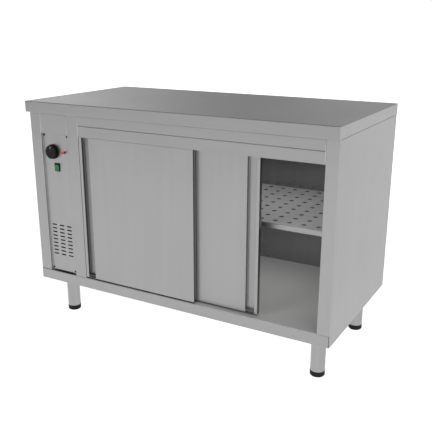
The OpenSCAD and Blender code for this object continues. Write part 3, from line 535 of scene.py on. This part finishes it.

# The right post is painted a shade paler than the side, a painted reflection, though the
# two are one sheet.
POST_BACK = -0.29
right_side_steel, tree, place = new_material("right_side_steel")
finish = ground_steel(tree, place, "Z", "#a3a3a4", "#a6a6a7", 0.36)
finish["Base_Color"] = mixed(
    tree, beyond(tree, place, "Y", POST_BACK), linear("#a9a9aa"), finish["Base_Color"]
)
surface(tree, Metallic=0.96, **finish)
paint(right_side_steel, "right_side_panel")


def pan_head(diameter, height):
    """A pan-head screw's head that faces up, with a cross recess."""
    sides = 16
    head = disc(diameter / 2, height, sides, edge=height * 0.45)
    bpy.ops.object.mode_set(mode="EDIT")
    select_top(head)
    bpy.ops.mesh.inset(thickness=diameter * 0.06)
    mesh = bmesh.from_edit_mesh(head.data)
    ring = [point.co.copy() for face in mesh.faces if face.select for point in face.verts]
    reach = max(co.xy.length for co in ring)

    def in_corner(co):
        """Every fourth point of the innermost ring, between two arms of the cross."""
        step = round(math.atan2(co.y, co.x) / math.tau * sides)
        return co.z > height - 1e-6 and co.xy.length < reach * 1.02 and step % 4 == 2

    select_points(head, in_corner)
    bpy.ops.transform.resize(value=(0.42, 0.42, 1), center_override=(0, 0, 0))
    select_faces(
        head,
        lambda face: face.normal.z > 0.9
        and len(face.verts) == sides
        and face.calc_center_median().z > height - 1e-6,
    )
    push(-height * 0.6, 0.8)
    bpy.ops.object.mode_set(mode="OBJECT")
    return head


BACK_FACE, BACK_SIDES, BACK_LOWEST = 0.294, (-0.577, 0.590), 0.17
BACK_HEIGHTS = (BACK_LOWEST, 0.29, 0.41, 0.53, 0.65, 0.77)
back_screw_places = [(x, z) for x in BACK_SIDES for z in BACK_HEIGHTS]
back_screw_places += [(x, BACK_LOWEST) for x in (-0.40, -0.22, -0.05, 0.12, 0.30, 0.46)]
placed_copies(
    pan_head(0.008, 0.0022),
    "back_panel_screws",
    zinc_plate,
    "cabinet",
    [(x, BACK_FACE, z) for x, z in back_screw_places],
    turn=(-math.pi / 2, 0, 0),
)

# ---- Insulation ----
# Slabs of stone wool behind, beside and above the chamber: matted olive-yellow fibres,
# soft and uneven, that throw back almost no shine.
wool, tree, place = new_material("stone_wool")
strands = add(tree, "Mapping", Vector=place, Scale=(1000 / 3, 1000 / 3, 1000 / 15)).outputs[0]
fibres = add(
    tree, "TexNoise", Vector=strands, Scale=1.0, Detail=6.0, Distortion=1.5
).outputs["Fac"]
tufts = add(tree, "TexNoise", Vector=place, Scale=30.0, Detail=3.0).outputs["Fac"]
depth = combined(tree, "ADD", fibres, tufts)
surface(
    tree,
    Base_Color=ramp(tree, fibres, (0.35, "#6f6744"), (0.65, "#a39a6c")),
    Roughness=0.95,
    Specular_IOR_Level=0.1,
    Normal=add(tree, "Bump", Strength=0.9, Distance=0.002, Height=depth).outputs[0],
)
paint(wool, "back_insulation", "right_insulation", "top_insulation")

# ---- Chamber ----
# The lining of the warm chamber is stainless sheet as it left the mill: rolled smooth,
# never ground, so it mirrors the dark room in soft shapes.
lining = satin_steel("mill_finish_lining", "Z", "#9d9d9d", "#a5a5a5", 0.26, 0.92)
paint(lining, "inner_back_panel", "inner_right_panel", "partition", "chamber_ceiling")

# ---- Shelf ----
# One perforated stainless sheet, folded down at the front and back, that lies on two
# brackets. Its top is painted pale and barely metallic, as painted light, and the walls of
# its holes and its underside dark, as painted shade.
SHELF_FOLD, SHELF_SKIN = -0.2065, 0.5036
shelf_steel, tree, place = new_material("perforated_shelf_steel")
finish = ground_steel(tree, place, "X", "#a4a4a5", "#a7a7a8", 0.4)
painted_light_top = combined(
    tree,
    "MULTIPLY",
    beyond(tree, place, "Y", SHELF_FOLD),
    beyond(tree, place, "Z", SHELF_SKIN),
)
not_skin = add(
    tree, "Math", {"operation": "SUBTRACT"}, _0=1.0, _1=beyond(tree, place, "Z", SHELF_SKIN)
).outputs[0]
painted_shade_below = combined(tree, "MULTIPLY", beyond(tree, place, "Y", SHELF_FOLD), not_skin)
# The top is painted pale as painted light; the holes and underside are painted dark as painted
# shade.
colour = mixed(tree, painted_light_top, finish["Base_Color"], linear("#e6e6e5"))
finish["Base_Color"] = mixed(tree, painted_shade_below, colour, linear("#6e6e6e"))
metallic = add(tree, "MapRange", _0=painted_light_top, _3=0.96, _4=0.05).outputs[0]
surface(tree, Metallic=metallic, **finish)
paint(shelf_steel, "shelf")
paint(lining, "shelf_supports")

# Each bracket is held by three pan-head screws.
SUPPORT_SCREW_Y, SUPPORT_SCREW_Z = (-0.15, 0.023, 0.195), 0.491
for side, face, turn in (("left", -0.3642, math.pi / 2), ("right", 0.5567, -math.pi / 2)):
    placed_copies(
        pan_head(0.007, 0.0018),
        "shelf_support_screws_" + side,
        zinc_plate,
        "cabinet",
        [(face, y, SUPPORT_SCREW_Z) for y in SUPPORT_SCREW_Y],
        turn=(0, turn, 0),
    )

# ---- Header and door track ----
# Two folded covers above the doors, in the outside's satin steel with the grain along,
# and behind them a two-lane rail of galvanised sheet with black end stops.
steel_along = satin_steel("satin_steel_along", "X", "#a4a4a5", "#a7a7a8", 0.36)
paint(steel_along, "header_rail", "track_cover", "bay_header")

# Hot-dip galvanised sheet: flat crystals of zinc about 7 mm across, each a slightly
# different blue-grey and gloss.
galvanised, tree, place = new_material("galvanised_sheet")
crystal_mm = 7
crystals = add(tree, "TexVoronoi", Vector=place, Scale=1000 / crystal_mm).outputs["Color"]
tone = add(tree, "SeparateXYZ", Vector=crystals).outputs["X"]
surface(
    tree,
    Base_Color=ramp(tree, tone, (0.0, "#868b90"), (0.5, "#989da2"), (1.0, "#aab0b5")),
    Metallic=0.9,
    Roughness=add(tree, "MapRange", _0=tone, _3=0.38, _4=0.55).outputs[0],
)
paint(galvanised, "door_track", "front_door_hangers", "rear_door_hangers")
paint(polyamide, "track_stops", "bottom_guide")

# The seams between posts and headers show as thin pale lines. Thin pale strips there are
# painted highlights, for the light that the bends of the posts catch.
SEAM_W, SEAM_LOW, SEAM_HIGH, SEAM_FACE = 0.0018, 0.7335, 0.8055, -0.2911
SEAM_X = (-0.5382, -0.4153, -0.3637, 0.5562)
deselected()
bpy.ops.mesh.primitive_cube_add(size=1, location=(0, 0, (SEAM_LOW + SEAM_HIGH) / 2))
seam = bpy.context.object
seam.scale = (SEAM_W, 0.001, SEAM_HIGH - SEAM_LOW)
bpy.ops.object.transform_apply(location=True, rotation=True, scale=True)
bpy.ops.object.mode_set(mode="EDIT")
bpy.ops.mesh.select_all(action="SELECT")
bpy.ops.mesh.bevel(offset=0.0003, segments=2, affect="EDGES")
bpy.ops.object.mode_set(mode="OBJECT")
seam_highlight = satin_steel("painted_seam_highlight", "Z", "#bebebe", "#cacaca", 0.3, 0.7)
placed_copies(
    seam,
    "post_seam_highlights",
    seam_highlight,
    "cabinet",
    [(x, SEAM_FACE, 0) for x in SEAM_X],
)


# ---- Doors ----
# Two hollow pans, 16 mm thick: a folded front with the grip channel pressed into it,
# and a flat liner clipped in behind. The channel's darker tones stand for the shade that
# it has in the photograph.
FRONT_DOOR_FACE, REAR_DOOR_FACE = -0.291, -0.271
WALL_FROM, FLOOR_FROM = 0.0015, 0.012


def door_steel(name, face, wall, floor):
    """Upright satin steel with a darker channel. The face is the door's front."""
    material, tree, place = new_material(name)
    finish = ground_steel(tree, place, "Z", "#a4a4a5", "#a7a7a8", 0.36)
    past_face = beyond(tree, place, "Y", face + WALL_FROM)
    at_floor = beyond(tree, place, "Y", face + FLOOR_FROM)
    colour = mixed(tree, past_face, finish["Base_Color"], linear(wall))
    finish["Base_Color"] = mixed(tree, at_floor, colour, linear(floor))
    surface(tree, Metallic=0.96, **finish)
    return material


front_steel = door_steel("front_door_steel", FRONT_DOOR_FACE, "#676767", "#8c8c8c")
rear_steel = door_steel("rear_door_steel", REAR_DOOR_FACE, "#828282", "#a0a0a0")
paint(front_steel, "front_door_skin")
paint(rear_steel, "rear_door_skin")
paint(steel_upright, "front_door_liner", "rear_door_liner")

# A thin black strip under each door is painted shade, for the dark gap there. The
# photograph shows a black line under each door, and a rubber strip is the guess for it.
# The rear one is shorter, to pass over the guide.
shade_filler = moulded(
    "black_shade_filler", "#0d0d0d", "#151515", 0.7, relief=0.3, Specular_IOR_Level=0.25
)
STRIP_T, STRIP_TOP = 0.0012, 0.2022
for door, front, ends, strip_low in (
    ("front", FRONT_DOOR_FACE, (-0.3625, 0.1095), 0.1966),
    ("rear", REAR_DOOR_FACE, (-0.132, 0.340), 0.1994),
):
    deselected()
    bpy.ops.mesh.primitive_cube_add(size=1, location=(0, 0, 0))
    strip = bpy.context.object
    strip.scale = (ends[1] - ends[0], STRIP_T, STRIP_TOP - strip_low)
    bpy.ops.object.transform_apply(location=True, rotation=True, scale=True)
    bpy.ops.object.mode_set(mode="EDIT")
    bpy.ops.mesh.select_all(action="SELECT")
    bpy.ops.mesh.bevel(offset=0.0003, segments=2, affect="EDGES")
    bpy.ops.object.mode_set(mode="OBJECT")
    placed_copies(
        strip,
        door + "_door_shade_strip",
        shade_filler,
        door + "_door",
        [(sum(ends) / 2, front + STRIP_T, (STRIP_TOP + strip_low) / 2)],
    )

# The rollers are turned from natural polyamide, waxy and off-white.
nylon = moulded("natural_nylon", "#d6d5cc", "#e3e2da", 0.42)
paint(nylon, "front_door_roller_left", "front_door_roller_right")
paint(nylon, "rear_door_roller_left", "rear_door_roller_right")

# Two screws through each hanger's foot into the door's top.
HANGER_TOP, HANGER_SCREW_OUT = 0.7338, 0.014
for door, lane, hangers in (
    ("front", -0.2825, (-0.3315, 0.0785)),
    ("rear", -0.2625, (-0.101, 0.309)),
):
    placed_copies(
        pan_head(0.0065, 0.0018),
        door + "_door_hanger_screws",
        zinc_plate,
        door + "_door",
        [
            (x + out, lane, HANGER_TOP)
            for x in hangers
            for out in (-HANGER_SCREW_OUT, HANGER_SCREW_OUT)
        ],
    )

# ---- Lip's ends ----
# The gap between each end of the tray's lip and the side shows as a dark line. A black
# filler in the gap is painted shade.
LIP_LOW, LIP_HIGH, LIP_GAP = 0.157, 0.1965, 0.0019
LIP_ENDS, LIP_FACE = (-0.5848, 0.5979), -0.2907
filler = disc(LIP_GAP / 2, LIP_HIGH - LIP_LOW, 12, LIP_LOW)
bpy.ops.object.mode_set(mode="EDIT")
select_top(filler)
bpy.ops.mesh.bevel(offset=0.0004, segments=2, affect="EDGES")
bpy.ops.object.mode_set(mode="OBJECT")
placed_copies(
    filler,
    "lip_end_shade_filler",
    shade_filler,
    "cabinet",
    [(x, LIP_FACE, 0) for x in LIP_ENDS],
)

# ---- Control bay ----
# A recessed plate of satin steel, held to tabs on the posts by four dark screws. The thin
# pale bead down both of its sides is a painted highlight, for the lit edges of the posts.
# The thin bead of grey sealant down both of its sides is a guess.
paint(steel_upright, "control_plate")

# Blackened steel: a thin dark oxide with a dull gleam.
black_oxide, tree, place = new_material("blackened_screw_steel")
clouds = add(tree, "TexNoise", Vector=place, Scale=400.0, Detail=2.0).outputs["Fac"]
surface(
    tree,
    Base_Color=ramp(tree, clouds, (0.3, "#2b2b2c"), (0.7, "#3a3a3b")),
    Metallic=0.8,
    Roughness=0.45,
)
paint(black_oxide, "control_plate_screws")

EDGE_HIGHLIGHT_R, PLATE_LOW, PLATE_HIGH = 0.0009, 0.2015, 0.7315
PLATE_SIDES, PLATE_FACE = (-0.53835, -0.41515), -0.2836
bead = disc(EDGE_HIGHLIGHT_R, PLATE_HIGH - PLATE_LOW, 10, PLATE_LOW)
bpy.ops.object.mode_set(mode="EDIT")
bpy.ops.mesh.select_all(action="SELECT")
bpy.ops.transform.resize(value=(1, 0.6, 1), center_override=(0, 0, 0))
select_top(bead)
bpy.ops.mesh.bevel(offset=0.0003, segments=2, affect="EDGES")
bpy.ops.object.mode_set(mode="OBJECT")
edge_highlight = moulded("pale_edge_highlight", "#b9b9b7", "#c6c6c4", 0.5, relief=0.05)
placed_copies(
    bead,
    "control_plate_edge_highlights",
    edge_highlight,
    "cabinet",
    [(x, PLATE_FACE, 0) for x in PLATE_SIDES],
)

# The thermostat turns behind the plate under a fluted knob of black phenolic, hard and
# half glossy, with a white line let into its face.
phenolic = moulded(
    "black_phenolic", "#050505", "#080808", 0.5, relief=0.1, Specular_IOR_Level=0.25
)
paint(phenolic, "knob", "limit_thermostat")
paint(galvanised, "thermostat", "thermostat_shaft")

KNOB_X, KNOB_Z = -0.49275, 0.666
INDEX_LOW, INDEX_HIGH, INDEX_W, INDEX_FACE = 0.0112, 0.0208, 0.0014, -0.29925
deselected()
bpy.ops.mesh.primitive_cube_add(size=1, location=(0, 0, 0))
index = bpy.context.object
index.scale = (INDEX_W, INDEX_HIGH - INDEX_LOW, 0.0005)
bpy.ops.object.transform_apply(location=True, rotation=True, scale=True)
bpy.ops.object.mode_set(mode="EDIT")
select_top(index)
bpy.ops.mesh.bevel(offset=0.0002, segments=2, affect="EDGES")
bpy.ops.object.mode_set(mode="OBJECT")
mark_paint = moulded("white_mark_enamel", "#dcdcd8", "#e8e8e4", 0.35, relief=0.05)
placed_copies(
    index,
    "knob_index",
    mark_paint,
    "knob",
    [(KNOB_X, INDEX_FACE, KNOB_Z + (INDEX_LOW + INDEX_HIGH) / 2)],
    turn=(math.pi / 2, 0, 0),
)

# The pilot lamp: a black holder and a dome of clear red polycarbonate, lit from behind.
paint(polyamide, "pilot_lamp_holder")
red_lens = moulded(
    "red_polycarbonate",
    "#b00d0d",
    "#c81414",
    0.15,
    relief=0.0,
    Emission_Color=linear("#ff1a10"),
    Emission_Strength=0.22,
)
paint(red_lens, "pilot_lamp_lens")

# The switch: a black housing that clips into the plate, and a glossy green rocker.
paint(polyamide, "switch_housing")
green = moulded("green_polycarbonate", "#00582a", "#026433", 0.28, relief=0.05)
paint(green, "switch_rocker")

# ON and OFF stand proud of the rocker's two faces as a line and a ring, in the same green.
MARK_RAISED, ROCKER_X = 0.0002, -0.47675
raised_green = moulded("raised_green_marks", "#0a7038", "#0e7c40", 0.28, relief=0.05)
deselected()
bpy.ops.mesh.primitive_cube_add(size=1, location=(0, 0, 0))
stroke = bpy.context.object
stroke.scale = (0.0007, 0.0042, 2 * MARK_RAISED)
bpy.ops.object.transform_apply(location=True, rotation=True, scale=True)
bpy.ops.object.mode_set(mode="EDIT")
select_top(stroke)
bpy.ops.mesh.bevel(offset=0.0001, segments=2, affect="EDGES")
bpy.ops.object.mode_set(mode="OBJECT")
placed_copies(
    stroke,
    "rocker_mark_on",
    raised_green,
    "switch_rocker",
    [(ROCKER_X, -0.29026, 0.61424)],
    turn=(math.radians(90 + 21.3), 0, 0),
)
deselected()
bpy.ops.mesh.primitive_torus_add(
    major_radius=0.0019, minor_radius=0.00035, major_segments=32, minor_segments=8
)
ring = bpy.context.object
bpy.ops.object.mode_set(mode="EDIT")
bpy.ops.mesh.select_all(action="SELECT")
bpy.ops.transform.resize(value=(0.85, 1.15, 0.6), center_override=(0, 0, 0))
bpy.ops.object.mode_set(mode="OBJECT")
placed_copies(
    ring,
    "rocker_mark_off",
    raised_green,
    "switch_rocker",
    [(ROCKER_X, -0.28809, 0.60193)],
    turn=(math.radians(90 - 1.3), 0, 0),
)

# ---- Fan and heater ----
# A galvanised duct stands on the partition, with the fan's motor on its outside and the
# wheel and a ring heater inside.
paint(galvanised, "air_duct", "fan_impeller")

# Die-cast aluminium: a pale, softly mottled grey with a fine sandy skin.
cast_aluminium, tree, place = new_material("die_cast_aluminium")
sand = add(tree, "TexNoise", Vector=place, Scale=900.0, Detail=2.0).outputs["Fac"]
clouds = add(tree, "TexNoise", Vector=place, Scale=60.0, Detail=3.0).outputs["Fac"]
surface(
    tree,
    Base_Color=ramp(tree, clouds, (0.3, "#8f9091"), (0.7, "#a2a3a4")),
    Metallic=0.9,
    Roughness=0.52,
    Normal=add(tree, "Bump", Strength=0.35, Distance=0.0003, Height=sand).outputs[0],
)
paint(cast_aluminium, "fan_motor")

# The heater's sheath is a nickel alloy, dark brown-grey from the heat.
hot_sheath, tree, place = new_material("oxidised_heater_sheath")
scale_marks = add(tree, "TexNoise", Vector=place, Scale=120.0, Detail=4.0).outputs["Fac"]
surface(
    tree,
    Base_Color=ramp(tree, scale_marks, (0.3, "#35302b"), (0.5, "#4a443d"), (0.7, "#3b3a3d")),
    Metallic=0.85,
    Roughness=add(tree, "MapRange", _0=scale_marks, _3=0.4, _4=0.6).outputs[0],
)
paint(hot_sheath, "heater_element")

FAN_Y, FAN_Z, BOLT_OUT, MOTOR_FACE = 0.020, 0.330, 0.03677, -0.4289
DUCT_FLANGE_FACE, DUCT_SCREW_OUT = -0.3681, 0.1175
placed_copies(
    nut_on_thread(0.004, 0.007, 0.0032, 0.003),
    "motor_nuts",
    zinc_plate,
    "cabinet",
    [
        (MOTOR_FACE, FAN_Y + BOLT_OUT * across, FAN_Z + BOLT_OUT * up)
        for across in (-1, 1)
        for up in (-1, 1)
    ],
    turn=(0, -math.pi / 2, 0),
)
placed_copies(
    pan_head(0.006, 0.0018),
    "duct_flange_screws",
    zinc_plate,
    "cabinet",
    [
        (DUCT_FLANGE_FACE, FAN_Y + out, z)
        for out in (-DUCT_SCREW_OUT, DUCT_SCREW_OUT)
        for z in (0.25, 0.40, 0.55, 0.70)
    ],
    turn=(0, -math.pi / 2, 0),
)

# ---- Mains ----
# A five-pole nylon terminal block with a clamping screw in each well, and the gland in
# the tray's floor that the mains wiring comes in by.
paint(nylon, "terminal_block")
paint(polyamide, "cable_gland")
POLES, POLE_PITCH, FIRST_POLE = 5, 0.012, (-0.5145, 0.183, 0.208)
placed_copies(
    pan_head(0.0046, 0.002),
    "terminal_screws",
    zinc_plate,
    "cabinet",
    [(FIRST_POLE[0] + POLE_PITCH * pole, *FIRST_POLE[1:]) for pole in range(POLES)],
)

# ---- Worktop ----
# Stainless sheet with its grain along, folded down all round and glued over a board of
# chipboard that keeps it flat and quiet.
# The bend along the back is painted dark, as a painted reflection.
BACK_BEND_Y, BACK_BEND_Z = 0.2950, 0.8448
worktop_steel, tree, place = new_material("worktop_steel")
finish = ground_steel(tree, place, "X", "#a4a4a5", "#a7a7a8", 0.36)
painted_reflection_bend = combined(
    tree,
    "MULTIPLY",
    beyond(tree, place, "Y", BACK_BEND_Y),
    beyond(tree, place, "Z", BACK_BEND_Z),
)
finish["Base_Color"] = mixed(tree, painted_reflection_bend, finish["Base_Color"], linear("#343434"))
surface(tree, Metallic=0.96, **finish)
paint(worktop_steel, "worktop")
chipboard, tree, place = new_material("chipboard")
chip_mm = 4
chips = add(
    tree, "TexVoronoi", Vector=place, Scale=1000 / chip_mm, Randomness=1.0
).outputs["Color"]
tone = add(tree, "SeparateXYZ", Vector=chips).outputs["X"]
surface(
    tree,
    Base_Color=ramp(tree, tone, (0.0, "#8b6a43"), (0.5, "#b08d5f"), (1.0, "#cdb083")),
    Roughness=0.8,
    Normal=add(tree, "Bump", Strength=0.3, Distance=0.0005, Height=tone).outputs[0],
)
paint(chipboard, "worktop_board")

# ---- Size ----
# The box round the whole dressed model.
low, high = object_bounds()
